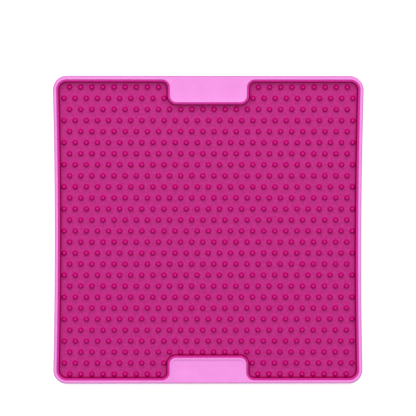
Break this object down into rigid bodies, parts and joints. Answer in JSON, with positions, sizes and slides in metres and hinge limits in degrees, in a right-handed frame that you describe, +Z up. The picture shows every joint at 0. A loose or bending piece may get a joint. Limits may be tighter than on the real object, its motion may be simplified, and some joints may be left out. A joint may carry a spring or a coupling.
{
  "type": "lick mat",
  "caption": "Square lick mat: a hard moulded tray with a tab at two ends, and a soft pad of round nubs with a raised border moulded into it.",
  "frame": {"origin": "middle of the underside, on the surface that the mat rests on", "axes": "+Z up out of the nubs; +Y from one tab to the other, +X across"},
  "size_m": [0.2, 0.199, 0.01],
  "materials": {
    "tray_plastic": "light pink polypropylene, satin gloss",
    "pad_rubber": "magenta soft rubber, semi-matt",
    "border_rubber": "magenta soft rubber, semi-matt"
  },
  "bodies": {
    "root": {"outer_tray": "tray_plastic", "lick_surface": "pad_rubber", "pad_border": "border_rubber"}
  },
  "joints": []
}
